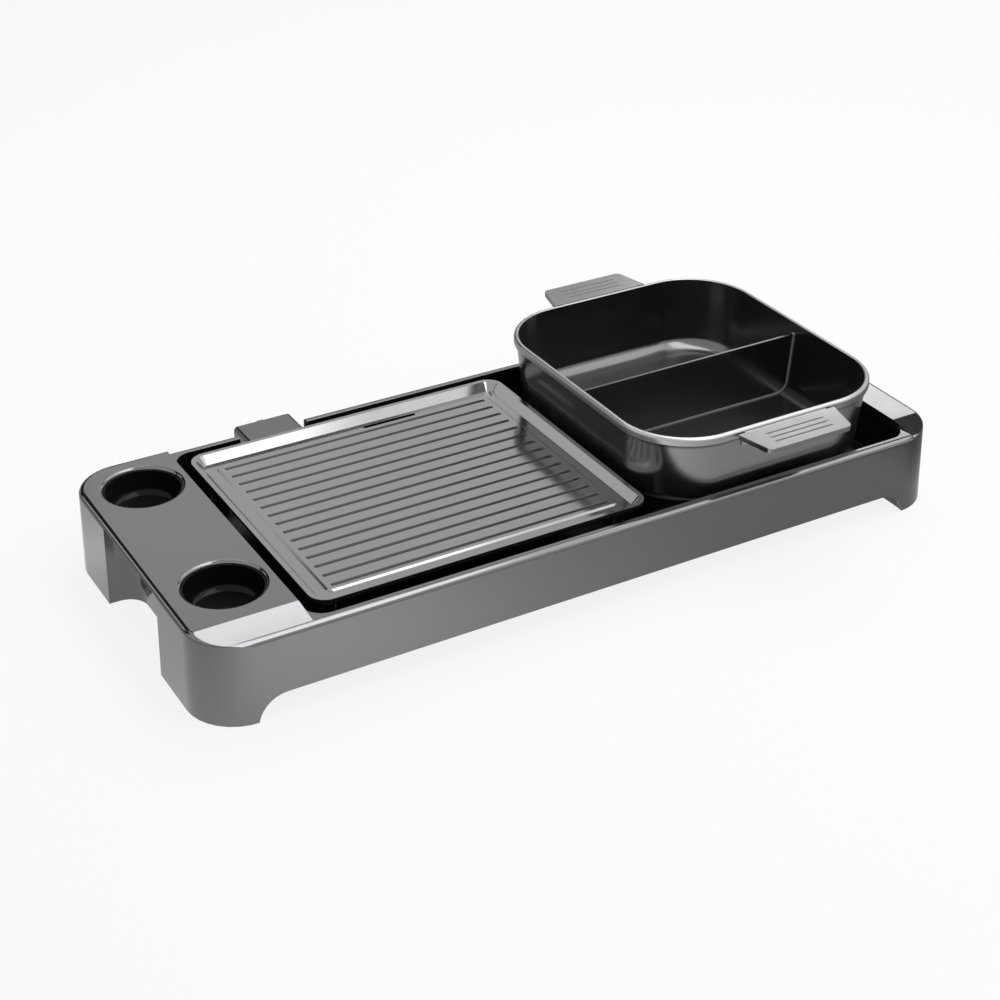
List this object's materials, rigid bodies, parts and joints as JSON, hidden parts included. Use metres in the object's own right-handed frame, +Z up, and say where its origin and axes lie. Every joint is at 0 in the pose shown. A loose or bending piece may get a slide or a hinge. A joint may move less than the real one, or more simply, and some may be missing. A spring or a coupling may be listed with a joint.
{
  "type": "electric grill and hot pot on a shared base",
  "caption": "Long low tray base with a lift-out ribbed grill plate, a lift-out divided hot pot with two handles, plug-in heat controllers and sauce wells.",
  "frame": {"origin": "on the table under the middle of the base, level with the underside of the rubber feet", "axes": "+X along the base from the sauce wells to the pot, +Y to the back where the controllers plug in, +Z up"},
  "size_m": [0.7048, 0.359, 0.1258],
  "materials": {
    "body_gunmetal": "satin metallic grey lacquer",
    "gloss_black": "glossy",
    "matt_black": "matt",
    "shield_steel": "dark satin",
    "screw_steel": "satin",
    "foot_rubber": "matt",
    "plate_coating": "satin non-stick coating",
    "heater_tube": "satin",
    "terminal_metal": "bright",
    "controller_shell": "satin grey",
    "lamp_red": "clear red",
    "pot_coating": "glossy dark non-stick coating",
    "rim_metal": "dark polished",
    "divider_coating": "dark satin coating",
    "seal_grey": "satin",
    "handle_metal": "satin grey"
  },
  "bodies": {
    "base": {"base_shell": "body_gunmetal", "well_cup_rear": "gloss_black", "well_cup_front": "gloss_black", "inner_tray": "gloss_black", "plate_heat_shield": "shield_steel", "pot_heat_shield": "shield_steel", "shield_screws": "screw_steel", "bottom_cover": "matt_black", "cover_screws": "screw_steel", "end_caps": "matt_black", "cap_screws": "screw_steel", "rubber_feet": "foot_rubber", "plate_rests": "foot_rubber", "pot_rests": "foot_rubber"},
    "grill": {"grill_plate": "plate_coating", "plate_heater": "heater_tube", "plate_inlet": "matt_black", "plate_terminals": "terminal_metal"},
    "grill_plug": {"plate_controller": "controller_shell", "plate_probe": "terminal_metal", "plate_lamp": "lamp_red", "plate_gland": "foot_rubber"},
    "grill_knob": {"plate_dial": "matt_black"},
    "pot": {"pot_shell": "pot_coating", "pot_rim_band": "rim_metal", "pot_divider": "divider_coating", "divider_seal": "seal_grey", "pot_bracket_front": "rim_metal", "pot_bracket_rear": "rim_metal", "pot_handle_front": "handle_metal", "pot_handle_rear": "handle_metal", "handle_screws": "screw_steel", "pot_base_cover": "matt_black", "pot_base_screws": "screw_steel", "pot_heater": "heater_tube", "pot_inlet": "matt_black", "pot_terminals": "terminal_metal"},
    "pot_plug": {"pot_controller": "controller_shell", "pot_probe": "terminal_metal", "pot_lamp": "lamp_red", "pot_gland": "foot_rubber"},
    "pot_knob": {"pot_dial": "matt_black"}
  },
  "joints": [
    {"name": "grill_lift", "type": "slide", "parent": "base", "child": "grill", "axis": [0, 0, 1], "range_m": [0, 0.15]},
    {"name": "grill_plug_slide", "type": "slide", "parent": "grill", "child": "grill_plug", "axis": [0, 1, 0], "range_m": [0, 0.08]},
    {"name": "grill_knob_turn", "type": "hinge", "parent": "grill_plug", "child": "grill_knob", "pos_m": [-0.1615, 0.1695, 0.056], "axis": [0, -1, 0], "range_deg": [0, 270]},
    {"name": "pot_lift", "type": "slide", "parent": "base", "child": "pot", "axis": [0, 0, 1], "range_m": [0, 0.2]},
    {"name": "pot_plug_slide", "type": "slide", "parent": "pot", "child": "pot_plug", "axis": [0, 1, 0], "range_m": [0, 0.08]},
    {"name": "pot_knob_turn", "type": "hinge", "parent": "pot_plug", "child": "pot_knob", "pos_m": [0.1791, 0.1695, 0.0458], "axis": [0, -1, 0], "range_deg": [0, 270]}
  ]
}
